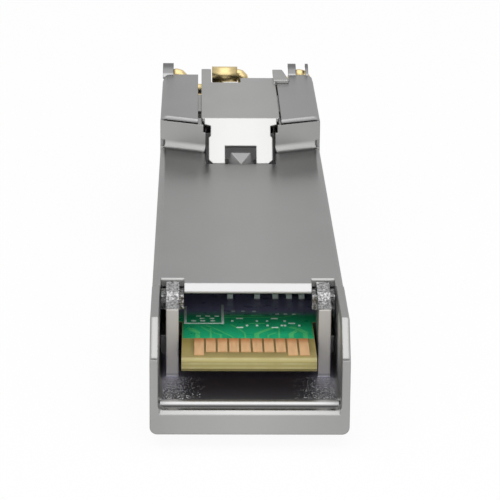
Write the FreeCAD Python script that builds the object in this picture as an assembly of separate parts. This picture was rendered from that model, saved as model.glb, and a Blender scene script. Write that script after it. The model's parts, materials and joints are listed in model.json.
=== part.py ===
import FreeCAD, Part
import math
import os

V = FreeCAD.Vector

# Sizes in millimetres. Y runs from the rear (board) end to the jack, Z from the label face to the latch face.
WIDTH = 13.4
HEIGHT = 8.5
WALL = 0.55
COVER = 0.6
SHEET = 0.3
GAP = 0.05
PLAY = 0.1
HALF = WIDTH / 2
INNER = HALF - WALL

# Stations along the length, from the rear end.
BOARD_END = 3.2
POST_FRONT = 6.5
COVER_REAR = 9.45
LATCH_SHOULDER = 45.0
STOP = LATCH_SHOULDER + 2.2
STOP_SWEEP = 1.65
NECK = STOP + STOP_SWEEP + GAP
JACK_REAR = NECK + 1.6
JACK_DEPTH = 14.5
FACE = JACK_REAR + JACK_DEPTH
CAST_END = JACK_REAR - PLAY
COVER_END = CAST_END - 0.8
BAIL_REACH = 1.6
LENGTH = FACE + BAIL_REACH

# Heights above the label face.
SEAM = HEIGHT - COVER
LIP = 2.58
FLOOR = LIP + 0.24
DEEP_FLOOR = 0.9
BOARD_LOW = HEIGHT / 2
BOARD_THICK = 1.0
BOARD_TOP = BOARD_LOW + BOARD_THICK
HEAD_TOP = HEIGHT + 2.7
FLANK_UNDER = HEAD_TOP - SHEET
RISER_TOP = FLANK_UNDER - PLAY - GAP

# Castings.
REAR_SLOPE = 2.2
LEAD_IN_TALL = 0.95
LEAD_IN_LONG = 4.0
EDGE_ROUND = 0.5
RIM_ROUND = 0.2
RIM_GROOVE = 0.1
PLATE_SLOPE = 0.45
NOTCH_ROUND = 0.15
FLOOR_ROUND = 0.4
LIP_LONG = 1.5
STEP_BEVEL = 0.22
POST_WIDE = 0.85
POST_OUT = INNER - 0.48
POST_IN = POST_OUT - POST_WIDE
POST_TOP = HEIGHT - 0.85
POST_STEP = 0.5
POST_STEP_AT = POST_FRONT + 1.8
NOTCH_IN = POST_IN - 0.37
NOTCH_OUT = POST_OUT + 0.43
NOTCH_FAR = COVER_REAR + 1.6
POST_BACK = NOTCH_FAR - PLAY
LEDGE_IN = INNER - 1.15
RISER_WIDE = 3.6
POCKET_HALF = HALF - RISER_WIDE
POCKET_IN = POCKET_HALF - 0.2
SHOULDER_LOW = RISER_TOP - 0.65
BRIDGE = 0.5
BRIDGE_TOP = HEIGHT + 1.1
POCKET_REAR = LATCH_SHOULDER - 2.03
POCKET_FLOOR = HEIGHT - 1.2
POCKET_WALL = 0.4
FOOT_ROUND = 0.6
RELIEF = 0.42
RELIEF_TALL = 0.6
BOSS_HALF = 1.2
BOSS_TOP_HALF = 0.8
BOSS_RISE = 0.45
BOSS_LONG = 1.7
RIB_LONG = 3.0
RIB_WIDE = 0.5

# Shield.
SHIELD_ROUND = 0.6
FLANK_ROUND = 0.2
FLANK_END = FACE - 0.7
FLANK_STEP = 2.8
OVERHANG = 0.15
EAR_WIDE = 0.95
EAR_RIGHT_WIDE = 0.7
EAR_INSET = 2.2
EAR_EDGE = 0.25
EAR_EDGE_INSET = 0.65
SIDE_OPEN = 1.3

# Actuator.
SLIDE_HALF = POCKET_HALF + 0.15
FLANK_LEFT = -SLIDE_HALF - 0.3
FLANK_RIGHT = SLIDE_HALF + 0.15
SLIDE_END = FACE - 2.0
TONGUE_TOP = STOP + 0.6
TONGUE_WIDE = POCKET_HALF - PLAY
TONGUE_NECK = TONGUE_WIDE - 0.52
TONGUE_HALF = TONGUE_NECK + 0.15
TONGUE_SPLIT = BOSS_HALF + PLAY
TONGUE_DROP = HEAD_TOP - HEIGHT + 0.4
TONGUE_HIPS = 0.6
NECK_LONG = 1.0
SPLIT_LONG = 1.7
STAMP_ROUND = 0.2
BEND_ROUND = 0.25
TRAVEL = 1.4
NOTCH_LONG = 1.85
SHELF_DROP = 0.9
SHELF_GAP = 0.45
WING_LONG = 4.2
WING_LAP = 2.1
WING_WIDE = 1.2
WING_TAPER = 0.5
WING_ROOT = 0.15
GUIDE_LONG = 5.8
GUIDE_OUT = 1.0
GUIDE_GAP = 0.08

# Bail wire.
WIRE = 0.5
BEND = 0.58
BEND_STEPS = 3
BARREL = 0.7
BARREL_LONG = 2.25
CRANK = TRAVEL
PIVOT_Y = FACE + WIRE + 0.3
CRANK_Z = FLANK_UNDER
PIVOT_Z = CRANK_Z - CRANK
ARM_X = HALF - WIRE - PLAY
LEG_X = ARM_X - 2 * BEND - 0.04
CRANK_LEFT = -1.75
CRANK_RIGHT = 0.5
ARM_THICK = 0.65
ARM_SET = 0.02
ARM_WIDE = 1.2
ARM_ROUND = 0.2
ARM_INSET = 0.9
ARM_FOOT = 1.4
ARM_LAP = 0.3
HANDLE_Z = WIRE + GAP

# Jack.
JACK_HALF = HALF - SHEET - GAP
JACK_LOW = SHEET + GAP
JACK_TOP = PIVOT_Z - BARREL - PLAY
PORT_WALL = 0.43
PORT_HALF = JACK_HALF - PORT_WALL
PORT_TALL = 6.6
PORT_TOP = JACK_TOP - 0.3
PORT_LOW = PORT_TOP - PORT_TALL
PORT_DEPTH = 12.0
PORT_FLARE = 0.2
CLIP_LOW = HANDLE_Z + WIRE + GAP
CLIP_HALF = 3.1
CLIP_NARROW = 1.7
CLIP_DEPTH = 8.0
LUG_WALL = 0.3
LUG_SNAP = 0.42
LUG_WIDE = 0.6
LUG_RIGHT_WIDE = 1.0
JACK_RIB_IN = SLIDE_HALF - 0.85
JACK_RIB_WIDE = 0.4
CONTACT_COUNT = 8
CONTACT_PITCH = 1.016
CONTACT_WIDE = 0.4
CONTACT_THICK = 0.25
CONTACT_Z = PORT_TOP - 0.325
CONTACT_TURN = 3.4
CONTACT_FOOT = 0.9

# Board.
TONGUE_BOARD = POST_IN - 0.22
BODY_BOARD = INNER - 0.35
BOARD_SHOULDER = COVER_REAR + 1.75
BOARD_BEVEL = 0.25
PAD_COUNT = 10
PAD_PITCH = 0.8
PAD_WIDE = 0.66
PAD_THICK = 0.05
PAD_OFFSET = 0.2
PAD_FAR = BOARD_END + 4.15
PAD_NEAR = BOARD_END + 1.3
PAD_NEAR_LONG = BOARD_END + 0.6

# Parts on the board.
PART_CLEAR = 0.5
LEAD_THICK = 0.15
LEAD_STAND = 0.1
LEAD_FOOT = 0.3
DRAFT = 0.12
CHIP_SIDE = 7.0
CHIP_TALL = 0.9
CHIP_SPAN = 8.6
CHIP_LEAD_COUNT = 8
CHIP_PITCH = 0.75
CHIP_AT = LATCH_SHOULDER - 22.5
COIL_WIDE = 3.5
COIL_LONG = 10.0
COIL_TALL = SEAM - PART_CLEAR - BOARD_TOP
COIL_SPAN = 4.8
COIL_LEAD_COUNT = 6
COIL_PITCH = 1.5
COIL_X = 2.6
COIL_AT = LATCH_SHOULDER - 9.5
MEMORY_WIDE = 2.6
MEMORY_LONG = 3.0
MEMORY_TALL = 1.1
MEMORY_SPAN = 4.2
MEMORY_LEAD_COUNT = 4
MEMORY_PITCH = 0.65
MEMORY_X = -2.0
MEMORY_AT = LATCH_SHOULDER - 27.0
INDUCTOR_SIDE = 4.0
INDUCTOR_TALL = 1.8
INDUCTOR_X = 2.0
INDUCTOR_AT = LATCH_SHOULDER - 20.0
CRYSTAL_WIDE = 2.5
CRYSTAL_LONG = 3.2
CRYSTAL_TALL = 0.8
CRYSTAL_X = -2.2
CRYSTAL_AT = LATCH_SHOULDER - 19.0
CAP_WIDE = 0.42
CAP_LONG = 1.0
CAP_TALL = 0.5
CAP_END = 0.25
CAP_PITCH = 1.6
CAP_COUNT = 4
CAP_AT = LATCH_SHOULDER - 16.0
CAP_REAR_X = (-1.17, 0.8, 2.11, 3.1, 4.01)
CAP_REAR_AT = LATCH_SHOULDER - 28.4

# The part is centred on its length.
CENTRE = V(0, -LENGTH / 2, 0)


def box(x0, x1, y0, y1, z0, z1):
    return Part.makeBox(x1 - x0, y1 - y0, z1 - z0, V(x0, y0, z0))


def both_sides(x0, x1, y0, y1, z0, z1):
    right = box(x0, x1, y0, y1, z0, z1)
    left = box(-x1, -x0, y0, y1, z0, z1)
    return [right, left]


def corner_arc(before, corner, after, radius):
    # The start and end of a rounded corner and the arc between them.
    into = (before - corner).normalize()
    out = (after - corner).normalize()
    half_angle = into.getAngle(out) / 2
    longest = 0.45 * min((before - corner).Length, (after - corner).Length)
    reach = min(radius / math.tan(half_angle), longest)
    bisector = (into + out).normalize()
    centre = corner + bisector * (reach / math.cos(half_angle))
    middle = centre - bisector * (reach * math.tan(half_angle))
    first = corner + into * reach
    last = corner + out * reach
    return first, last, Part.Arc(first, middle, last).toShape()


def rounded_outline(points, radius):
    # A closed line through the points with every corner rounded.
    afters = points[1:] + points[:1]
    befores = points[-1:] + points[:-1]
    corners = [corner_arc(b, c, a, radius) for b, c, a in zip(befores, points, afters)]
    edges = []
    for (first, last, arc), (next_first, next_last, next_arc) in zip(corners, corners[1:] + corners[:1]):
        edges.append(arc)
        edges.append(Part.makeLine(last, next_first))
    return Part.Wire(edges)


def prism(points, along, radius=0):
    if radius:
        outline = rounded_outline(points, radius)
    else:
        outline = Part.makePolygon(points + [points[0]])
    return Part.Face(outline).extrude(along)


def across(points, x0, x1, radius=0):
    # A prism across the width from (y, z) points.
    return prism([V(x0, y, z) for y, z in points], V(x1 - x0, 0, 0), radius)


def upright(points, z0, z1, radius=0):
    # A prism up the height from (x, y) points.
    return prism([V(x, y, z0) for x, y in points], V(0, 0, z1 - z0), radius)


def endwise(points, y0, y1, radius=0):
    # A prism along the length from (x, z) points.
    return prism([V(x, y0, z) for x, z in points], V(0, y1 - y0, 0), radius)


def mirrored(points):
    return [(-x, y) for x, y in points]


def symmetric(half_outline):
    return half_outline + mirrored(half_outline[::-1])


def edges_where(shape, test):
    found = []
    for edge in shape.Edges:
        if all(test(vertex.Point) for vertex in edge.Vertexes):
            found.append(edge)
    return found


def near(a, b):
    return abs(a - b) < 1e-4


def lengthwise(edges):
    return [edge for edge in edges if near(edge.BoundBox.YLength, edge.Length)]


def tall_edges(shape):
    return [edge for edge in shape.Edges if near(edge.BoundBox.ZLength, edge.Length)]


def only(shape):
    # The one solid of a result, so that a broken step shows at once.
    if len(shape.Solids) != 1:
        raise ValueError("expected one solid, found %d" % len(shape.Solids))
    return shape.Solids[0]


def join(shapes):
    return only(shapes[0].multiFuse(shapes[1:]).removeSplitter())


def stop_line(x):
    # Where the swept stop face stands at a distance from the centre line.
    return STOP + STOP_SWEEP * (abs(x) - POCKET_HALF) / (HALF - POCKET_HALF)


def plug_outline(top):
    # The part of the castings that slides into the shield, with its corners cut.
    half = JACK_HALF
    cut = SHIELD_ROUND - SHEET + GAP
    low = JACK_LOW
    half_outline = [(half - cut, low), (half, low + cut), (half, top - cut), (half - cut, top)]
    return endwise(symmetric(half_outline), NECK, CAST_END)


def floor_hollows():
    # The hollow of the base in three depths, with its floor edges rounded like a casting.
    hollows = []
    for low, start, end in ((LIP, -1, LIP_LONG), (FLOOR, LIP_LONG, BOARD_SHOULDER + 1),
                            (DEEP_FLOOR, BOARD_SHOULDER + 1, CAST_END + 1)):
        section = symmetric([(INNER, low), (INNER, HEIGHT + 1)])
        hollows.append(endwise(section, start, end, FLOOR_ROUND))
    return hollows


def step_bevels():
    # Cuts the sloped edges of the two steps at the front of the floor.
    half = INNER - PLAY
    bevels = []
    for y, z in ((0, LIP), (LIP_LONG, FLOOR)):
        slope = [(y, z - STEP_BEVEL), (y + STEP_BEVEL, z), (y + STEP_BEVEL, z + 1), (y, z + 1)]
        bevels.append(across(slope, -half, half))
    return bevels


def staked_post(side):
    # A post that was peened over the edge of the cover, so that its top is stepped.
    profile = [
        (POST_FRONT, FLOOR - PLAY), (POST_BACK, FLOOR - PLAY), (POST_BACK, POST_TOP + POST_STEP),
        (POST_STEP_AT + POST_STEP, POST_TOP + POST_STEP), (POST_STEP_AT, POST_TOP), (POST_FRONT, POST_TOP),
    ]
    return across(profile, side * POST_IN, side * POST_OUT)


def base_block():
    # The outside of the base: lead-in below, sloped rear corners above, rounded long edges.
    body = box(-HALF, HALF, 0, NECK, 0, HEIGHT)
    lead_in = [(-1, -1), (LEAD_IN_LONG, -1), (LEAD_IN_LONG, 0), (0, LEAD_IN_TALL), (-1, LEAD_IN_TALL)]
    body = body.cut(across(lead_in, -WIDTH, WIDTH))
    slope_foot = HEIGHT - REAR_SLOPE
    slope = [(-1, slope_foot), (0, slope_foot), (REAR_SLOPE, HEIGHT),
             (REAR_SLOPE, HEIGHT + 1), (-1, HEIGHT + 1)]
    body = only(body.cut(across(slope, -WIDTH, WIDTH)))
    sides = edges_where(body, lambda p: near(abs(p.x), HALF))
    along = [edge for edge in sides if edge.BoundBox.YLength > 1]
    body = only(body.makeFillet(EDGE_ROUND, [edge for edge in along if edge.BoundBox.ZMin < 1]))
    sides = edges_where(body, lambda p: near(abs(p.x), HALF) and p.z > slope_foot - GAP)
    return only(body.makeFillet(RIM_ROUND, [edge for edge in sides if edge.BoundBox.YLength > 1]))


def housing_base():
    body = base_block().fuse(plug_outline(SEAM))
    groove = HEIGHT - REAR_SLOPE
    cuts = floor_hollows() + step_bevels()
    cuts += both_sides(INNER - PLAY, HALF + 1, -1, RIM_GROOVE, groove - RIM_GROOVE, groove)
    cuts.append(box(-WIDTH, WIDTH, COVER_REAR, CAST_END + 1, SEAM, HEIGHT + 1))
    for cut in cuts:
        body = body.cut(cut)
    shelves = both_sides(LEDGE_IN, INNER + PLAY, BOARD_SHOULDER, CAST_END - 2, DEEP_FLOOR - PLAY, BOARD_LOW)
    return join([only(body), staked_post(1), staked_post(-1)] + shelves)


def latch_boss():
    low = POCKET_FLOOR - PLAY
    high = HEIGHT + BOSS_RISE
    rear = LATCH_SHOULDER - BOSS_LONG
    rings = []
    for half, tip, z in ((BOSS_HALF, POCKET_REAR - PLAY, low), (BOSS_TOP_HALF, rear, high)):
        ring = [V(-half, LATCH_SHOULDER, z), V(half, LATCH_SHOULDER, z), V(0, tip, z)]
        rings.append(Part.makePolygon(ring + ring[:1]))
    boss = Part.makeLoft(rings, True, True)
    ramp = [(rear - 2, HEIGHT), (rear, HEIGHT), (LATCH_SHOULDER, high),
            (LATCH_SHOULDER, high + 1), (rear - 2, high + 1)]
    return boss.cut(across(ramp, -WIDTH, WIDTH))


def stop_risers():
    outline = [
        (POCKET_IN, stop_line(POCKET_IN)), (HALF, stop_line(HALF)), (HALF, NECK),
        (JACK_HALF, NECK), (JACK_HALF, COVER_END), (POCKET_IN, COVER_END),
    ]
    risers = [upright(points, SEAM, RISER_TOP) for points in (outline, mirrored(outline))]
    return [riser.cut(corner) for riser, corner in zip(risers, riser_corner_cuts())]


def riser_corner_cuts():
    # Clears the shield's bend above and leaves the small relief at the foot of the stop face.
    beyond = RISER_TOP + 1
    tall = SHIELD_ROUND - SHEET - GAP
    cuts = both_sides(HALF - RELIEF, HALF + 1, STOP, NECK, HEIGHT, HEIGHT + RELIEF_TALL)
    for half, wide, start, end in ((HALF, GAP, STOP, NECK), (JACK_HALF, tall, NECK, COVER_END + 1)):
        low = RISER_TOP - tall
        bend = [(half - wide, beyond), (HALF + 1, beyond), (HALF + 1, low), (half, low),
                (half - wide, RISER_TOP)]
        uppers = [endwise(points, start, end) for points in (bend, mirrored(bend))]
        cuts = [cut.fuse(upper) for cut, upper in zip(cuts, uppers)]
    return cuts


def foot_roll(side):
    # The hollow rounding between the plate and the swept stop face.
    first = V(side * POCKET_IN, stop_line(POCKET_IN), HEIGHT)
    last = V(side * (HALF - RELIEF), stop_line(HALF - RELIEF), HEIGHT)
    run = last - first
    out = V(run.y, -run.x, 0).normalize() * side
    up = V(0, 0, 1)
    tight = FOOT_ROUND * (1 - math.sqrt(0.5))
    hidden = (out + up) * -PLAY
    toe = first + out * FOOT_ROUND
    heel = first + up * FOOT_ROUND
    middle = first + out * tight + up * tight
    edges = [
        Part.makeLine(first + hidden, toe - up * PLAY), Part.makeLine(toe - up * PLAY, toe),
        Part.Arc(toe, middle, heel).toShape(),
        Part.makeLine(heel, heel - out * PLAY), Part.makeLine(heel - out * PLAY, first + hidden),
    ]
    return Part.Face(Part.Wire(edges)).extrude(run)


def cover_plate():
    # The plate with its rounded long edges, the two notches for the posts and the sloped rear edge.
    plate = box(-HALF, HALF, COVER_REAR, NECK, SEAM, HEIGHT)
    latch_edges = lengthwise(edges_where(plate, lambda p: near(p.z, HEIGHT)))
    plate = plate.makeFillet(EDGE_ROUND, latch_edges)
    for notch in both_sides(NOTCH_IN, NOTCH_OUT, COVER_REAR - 1, NOTCH_FAR, SEAM - 1, HEIGHT + 1):
        plate = only(plate.cut(notch))
    rear = edges_where(plate, lambda p: near(p.z, HEIGHT) and near(p.y, COVER_REAR))
    plate = only(plate.makeChamfer(PLATE_SLOPE, [edge for edge in rear if edge.Length > NOTCH_IN]))
    back = edges_where(plate, lambda p: near(p.z, HEIGHT) and near(p.y, NOTCH_FAR))
    return only(plate.makeFillet(NOTCH_ROUND, back))


def board_ribs():
    # Ribs under the cover that press the board on its ledges.
    ribs = []
    outer = BODY_BOARD - PLAY
    for y in (BOARD_SHOULDER + RIB_LONG, LATCH_SHOULDER - 3 * RIB_LONG):
        ribs += both_sides(outer - RIB_WIDE, outer, y, y + RIB_LONG, BOARD_TOP, SEAM + PLAY)
    return ribs


def latch_cover():
    neck = box(-JACK_HALF, JACK_HALF, NECK - 1, COVER_END, SEAM, HEIGHT)
    tray_half = POCKET_HALF + POCKET_WALL
    tray_low = POCKET_FLOOR - POCKET_WALL
    tray = box(-tray_half, tray_half, POCKET_REAR - POCKET_WALL, COVER_END, tray_low, HEIGHT)
    solid = join([cover_plate(), neck, tray] + stop_risers())
    solid = solid.cut(box(-POCKET_IN, POCKET_IN, POCKET_REAR, COVER_END + 1, POCKET_FLOOR, HEAD_TOP))
    solid = solid.cut(box(-POCKET_HALF, POCKET_HALF, POCKET_REAR, COVER_END + 1, SHOULDER_LOW, HEAD_TOP))
    half = POCKET_IN + PLAY
    bridge = box(-half, half, COVER_END - BRIDGE, COVER_END, POCKET_FLOOR - PLAY, BRIDGE_TOP)
    return join([solid, bridge, latch_boss(), foot_roll(1), foot_roll(-1)] + board_ribs())


def rounded_tube(half, low, high, radius):
    half_outline = [(half, low), (half, high)]
    return endwise(symmetric(half_outline), 0, LENGTH, radius)


def curled_ear(x0, x1):
    # A strip of sheet curled around the bail's pivot, outside the path of the bail.
    inner = CRANK + WIRE + SHEET / 2
    outer = inner + SHEET
    spot = V(x0, PIVOT_Y, PIVOT_Z)
    ring = Part.makeCylinder(outer, x1 - x0, spot, V(1, 0, 0))
    ring = ring.cut(Part.makeCylinder(inner, x1 - x0, spot, V(1, 0, 0)))
    far = 3 * outer
    start = math.radians(78)
    end = math.radians(140)
    wedge = across([(PIVOT_Y, PIVOT_Z),
                    (PIVOT_Y + far * math.cos(start), PIVOT_Z + far * math.sin(start)),
                    (PIVOT_Y + far * math.cos(end), PIVOT_Z + far * math.sin(end))], x0, x1)
    return ring.common(wedge)


def flank_edges(shell):
    # The swept edges at the rear of the two flanks.
    def on_sweep(point):
        return near(point.z, HEAD_TOP) and near(point.y, stop_line(point.x) - OVERHANG)
    return edges_where(shell, on_sweep)


def head_shield():
    beyond = HEAD_TOP + 1
    shell = rounded_tube(HALF, 0, HEAD_TOP, SHIELD_ROUND)
    shell = shell.cut(rounded_tube(HALF - SHEET, SHEET, FLANK_UNDER, SHIELD_ROUND - SHEET))
    flank = [(x, stop_line(x) - OVERHANG) for x in (HALF + 1, POCKET_HALF)]
    shell = shell.cut(upright(symmetric([(HALF + 1, -1)] + flank), -1, beyond))
    shell = shell.cut(box(-WIDTH, WIDTH, -1, NECK, -1, FLANK_UNDER))
    shell = shell.cut(box(-WIDTH, WIDTH, FACE, LENGTH + 1, -1, beyond))
    shell = shell.cut(box(FLANK_LEFT, FLANK_RIGHT, 0, LENGTH, HEAD_TOP - 1, beyond))
    shell = shell.cut(box(-WIDTH, WIDTH, FLANK_END, LENGTH, PIVOT_Z - SIDE_OPEN, beyond))
    swing = PIVOT_Y - CRANK - WIRE - EDGE_ROUND
    shell = shell.cut(box(-WIDTH, WIDTH, swing, LENGTH, PIVOT_Z - SIDE_OPEN, FLANK_UNDER))
    side_ear = HALF - EAR_INSET
    shell = shell.cut(box(FLANK_RIGHT - 1, side_ear, FLANK_END - FLANK_STEP, LENGTH, HEAD_TOP - 1, beyond))
    shell = only(shell).makeFillet(FLANK_ROUND, flank_edges(only(shell)))
    edge_ear = HALF - EAR_EDGE_INSET
    ears = [curled_ear(-HALF, -HALF + EAR_WIDE), curled_ear(side_ear, side_ear + EAR_RIGHT_WIDE),
            curled_ear(edge_ear, edge_ear + EAR_EDGE)]
    return join([shell] + ears)


def tongue():
    # Drawn flat as (x, distance down the slope), then stood on the bend at 45 degrees.
    reach = TONGUE_DROP * math.sqrt(2)
    ease = TONGUE_HALF - TONGUE_NECK
    waist = TONGUE_HIPS + ease
    tip = 0.35
    half_outline = [
        (TONGUE_WIDE, 0), (TONGUE_WIDE, TONGUE_HIPS), (TONGUE_NECK, waist), (TONGUE_NECK, waist + NECK_LONG),
        (TONGUE_HALF, waist + NECK_LONG + ease), (TONGUE_HALF, reach - tip), (TONGUE_HALF - tip, reach),
        (TONGUE_SPLIT, reach), (TONGUE_SPLIT, reach - SPLIT_LONG),
    ]
    down = V(0, -1, -1).normalize()
    inward = V(0, 1, -1).normalize() * SHEET
    corner = V(0, TONGUE_TOP, HEAD_TOP)
    return prism([corner + V(x, 0, 0) + down * u for x, u in symmetric(half_outline)], inward)


def slide_plate():
    notch_left = CRANK_LEFT - WIRE - 0.15
    notch_right = CRANK_RIGHT - SHEET
    notch = SLIDE_END - NOTCH_LONG
    outline = [
        (-SLIDE_HALF, TONGUE_TOP), (SLIDE_HALF, TONGUE_TOP), (SLIDE_HALF, SLIDE_END),
        (notch_right, SLIDE_END), (notch_right, notch), (notch_left, notch),
        (notch_left, LENGTH), (-SLIDE_HALF, LENGTH),
    ]
    plate = upright(outline, FLANK_UNDER, HEAD_TOP, STAMP_ROUND)
    low = FLANK_UNDER - SHELF_DROP
    far = PIVOT_Y - BARREL - SHELF_GAP
    shelf = across([(notch - SHEET, HEAD_TOP), (notch - SHEET, low), (far, low),
                    (far, low + SHEET), (notch, low + SHEET), (notch, HEAD_TOP)],
                   notch_left + STAMP_ROUND, notch_right - STAMP_ROUND)
    return [plate, shelf]


def raised_wing():
    # The wing at the far right, folded back on top of the slide.
    inner = SLIDE_HALF - WING_ROOT
    start = SLIDE_END - WING_LAP
    end = start + WING_LONG
    root = box(inner, SLIDE_HALF, start, SLIDE_END - STAMP_ROUND, HEAD_TOP - PLAY, HEAD_TOP + SHEET)
    outer = SLIDE_HALF + WING_WIDE
    outline = [(inner, start), (outer, start), (outer - WING_TAPER, end), (inner, end)]
    return [root, upright(outline, HEAD_TOP + 0.02, HEAD_TOP + SHEET, STAMP_ROUND / 2)]


def slide_guides():
    # Edges bent under the flanks, which keep the slide down.
    start = JACK_REAR + TRAVEL + 0.2
    end = start + GUIDE_LONG
    high = FLANK_UNDER - GUIDE_GAP
    low = high - SHEET + 0.03
    inner = SLIDE_HALF - SHEET
    webs = both_sides(inner, SLIDE_HALF, start, end, low, FLANK_UNDER + PLAY)
    return webs + both_sides(inner, SLIDE_HALF + GUIDE_OUT, start, end, low, high)


def actuator():
    solid = join(slide_plate() + raised_wing() + slide_guides() + [tongue()])
    on_bend = edges_where(solid, lambda p: near(p.z, HEAD_TOP) and near(p.y, TONGUE_TOP))
    return solid.makeFillet(BEND_ROUND, [edge for edge in on_bend if edge.Length > TONGUE_WIDE])


def bend_points(before, corner, after, radius):
    # Points along a quarter bend, in short chords.
    into = (before - corner).normalize() * radius
    out = (after - corner).normalize() * radius
    points = []
    for step in range(BEND_STEPS + 1):
        turn = math.radians(90 * step / BEND_STEPS)
        points.append(corner + into * (1 - math.sin(turn)) + out * (1 - math.cos(turn)))
    return points


def beyond_plane(point, normal):
    # The space on the far side of a plane, as far as the wire reaches.
    return Part.makeCylinder(4 * WIRE, 4 * WIRE, point, normal)


def wire_run(start, end, before, after):
    # A straight run of wire, mitred where it meets the runs before and after it.
    along = (end - start).normalize()
    run = Part.makeCylinder(WIRE, (end - start).Length + 2 * WIRE, start - along * WIRE, along)
    run = run.cut(beyond_plane(start, (before + along) * -1))
    return run.cut(beyond_plane(end, along + after))


def wire_form(spots, radius):
    # Round wire through (x, z) points: straight runs joined by quarter bends.
    corners = [V(x, 0, z) for x, z in spots]
    points = corners[:1]
    for before, corner, after in zip(corners, corners[1:], corners[2:]):
        points += bend_points(before, corner, after, radius)
    points.append(corners[-1])
    ways = [(end - start).normalize() for start, end in zip(points, points[1:])]
    befores = ways[:1] + ways[:-1]
    afters = ways[1:] + ways[-1:]
    runs = zip(points, points[1:], befores, afters)
    return join([wire_run(*run) for run in runs])


def bail():
    arm_high = PIVOT_Z - ARM_INSET
    arm_low = HANDLE_Z + ARM_FOOT
    half_top = [(LEG_X, PIVOT_Z), (LEG_X, CRANK_Z), (ARM_X, CRANK_Z), (ARM_X, arm_high)]
    crank = [(CRANK_LEFT, PIVOT_Z), (CRANK_LEFT, CRANK_Z), (CRANK_RIGHT, CRANK_Z), (CRANK_RIGHT, PIVOT_Z)]
    top = wire_form(mirrored(half_top[::-1]) + crank + half_top, BEND)
    handle = wire_form([(-ARM_X, arm_low), (-ARM_X, HANDLE_Z), (ARM_X, HANDLE_Z), (ARM_X, arm_low)], 2 * BEND)
    barrel_end = V(CRANK_LEFT - WIRE - GAP, 0, CRANK_Z)
    barrel = Part.makeCylinder(BARREL, BARREL_LONG, barrel_end, V(1, 0, 0))
    outer = ARM_X + WIRE - ARM_SET
    low = arm_low - ARM_LAP
    high = arm_high + ARM_LAP
    arms = both_sides(outer - ARM_THICK, outer, -ARM_WIDE / 2, ARM_WIDE / 2, low, high)
    arms = [arm.makeFillet(ARM_ROUND, tall_edges(arm)) for arm in arms]
    lever = join([top, handle, barrel] + arms)
    lever.translate(V(0, PIVOT_Y, 0))
    return lever


def pivot_lug(x0, x1):
    outer = WIRE + GAP + LUG_WALL
    spot = V(x0, PIVOT_Y, PIVOT_Z)
    lug = Part.makeCylinder(outer, x1 - x0, spot, V(1, 0, 0))
    lug = lug.fuse(box(x0, x1, FACE - 1, PIVOT_Y, JACK_TOP - LUG_WALL, PIVOT_Z + outer))
    lug = lug.cut(Part.makeCylinder(WIRE + GAP, x1 - x0, spot, V(1, 0, 0)))
    lug = lug.cut(box(x0, x1, PIVOT_Y, LENGTH + 1, PIVOT_Z - LUG_SNAP, PIVOT_Z + LUG_SNAP))
    return lug.cut(box(x0, x1, FACE - 1, LENGTH + 1, 0, PORT_TOP + GAP))


def plug_hollow():
    # The plug's space, with a flared mouth and the stepped groove for the plug's clip.
    hollow = box(-PORT_HALF, PORT_HALF, FACE - PORT_DEPTH, FACE + 1, PORT_LOW, PORT_TOP)
    mouth = FACE + GAP
    flare = PORT_FLARE + GAP
    outline = [(PORT_HALF, FACE - PORT_FLARE), (PORT_HALF + flare, mouth)]
    wide = upright(symmetric(outline), PORT_LOW, PORT_TOP)
    groove_half = [(CLIP_NARROW, CLIP_LOW), (CLIP_NARROW, (CLIP_LOW + PORT_LOW) / 2),
                   (CLIP_HALF, (CLIP_LOW + PORT_LOW) / 2), (CLIP_HALF, PORT_LOW + PLAY)]
    groove = endwise(symmetric(groove_half), FACE - CLIP_DEPTH, FACE + 1)
    return hollow.fuse(wide).fuse(groove)


def contact_slot(x):
    wide = CONTACT_WIDE / 2 + GAP
    tall = CONTACT_THICK / 2 + GAP
    return box(x - wide, x + wide, JACK_REAR - 1, FACE - PORT_DEPTH + 1, CONTACT_Z - tall, CONTACT_Z + tall)


def jack_body():
    block = box(-JACK_HALF, JACK_HALF, JACK_REAR, FACE, JACK_LOW, JACK_TOP)
    low_edges = edges_where(block, lambda p: near(p.z, JACK_LOW) and near(abs(p.x), JACK_HALF))
    block = block.makeChamfer(SHIELD_ROUND - SHEET + GAP, lengthwise(low_edges))
    ribs = both_sides(JACK_RIB_IN, JACK_RIB_IN + JACK_RIB_WIDE, JACK_REAR, SLIDE_END - 3.5,
                      JACK_TOP - PLAY, FLANK_UNDER - 0.02)
    right = SLIDE_HALF - GAP
    lugs = [pivot_lug(-right + PLAY, -right + PLAY + LUG_WIDE), pivot_lug(right, right + LUG_RIGHT_WIDE)]
    block = join([block] + ribs + lugs).cut(plug_hollow())
    for x in contact_centres():
        block = block.cut(contact_slot(x))
    return only(block)


def centred(count, pitch):
    return [(i - (count - 1) / 2) * pitch for i in range(count)]


def contact_centres():
    return centred(CONTACT_COUNT, CONTACT_PITCH)


def ribbon(points, thick):
    # The outline of a strip of even thickness along a line of points.
    left = []
    right = []
    for i, (y, z) in enumerate(points):
        before = points[max(i - 1, 0)]
        after = points[min(i + 1, len(points) - 1)]
        into = V(y - before[0], z - before[1], 0)
        out = V(after[0] - y, after[1] - z, 0)
        into = into.normalize() if into.Length > 0 else V(out).normalize()
        out = out.normalize() if out.Length > 0 else into
        middle = V(-(into.y + out.y), into.x + out.x, 0).normalize()
        reach = thick / 2 / (middle.x * -into.y + middle.y * into.x)
        left.append((y + middle.x * reach, z + middle.y * reach))
        right.append((y - middle.x * reach, z - middle.y * reach))
    return left + right[::-1]


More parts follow.
